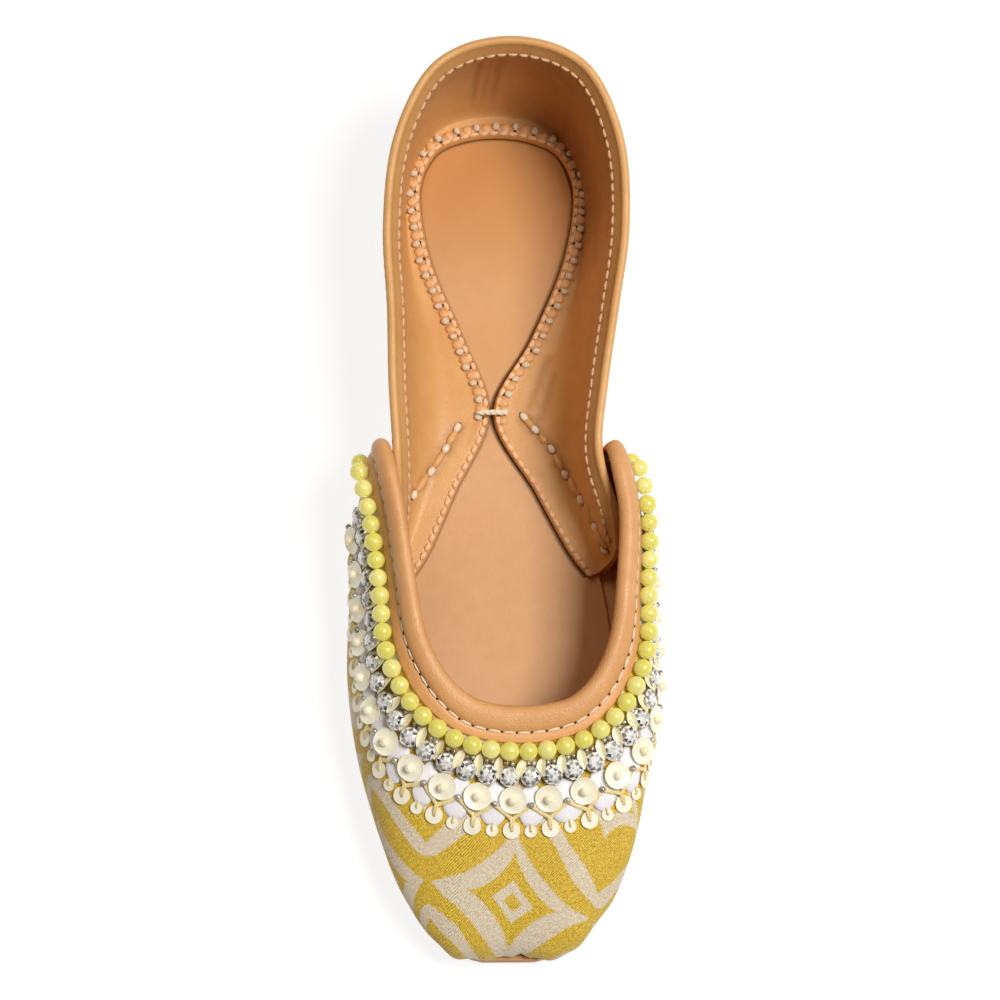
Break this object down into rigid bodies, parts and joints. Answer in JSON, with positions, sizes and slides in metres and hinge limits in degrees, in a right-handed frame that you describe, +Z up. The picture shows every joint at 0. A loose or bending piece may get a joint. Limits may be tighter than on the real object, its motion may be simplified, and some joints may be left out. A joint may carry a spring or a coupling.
{
  "type": "khussa shoe",
  "caption": "Flat slip-on khussa with a printed cloth vamp edged in beads, crystals and sequins, a tan leather quarter laced over the insole, and a thin leather sole.",
  "frame": {"origin": "on the floor, at the middle of the length and of the width", "axes": "+Z up, +Y towards the heel, -Y towards the toe, +X to the picture's right"},
  "size_m": [0.0861, 0.2495, 0.0589],
  "materials": {
    "sole_leather": "matte",
    "tan_leather": "satin",
    "print_cloth": "woven",
    "bead": "gloss",
    "ground_cloth": "satin",
    "crystal": "faceted",
    "sequin": "satin",
    "thread": "matte"
  },
  "bodies": {
    "root": {"outsole": "sole_leather", "insole": "tan_leather", "vamp": "print_cloth", "vamp_binding": "tan_leather", "quarter": "tan_leather", "waist_tie": "thread", "bead_string": "bead", "embroidery_band": "ground_cloth", "crystal_row": "crystal", "sequin_row": "sequin"}
  },
  "joints": []
}
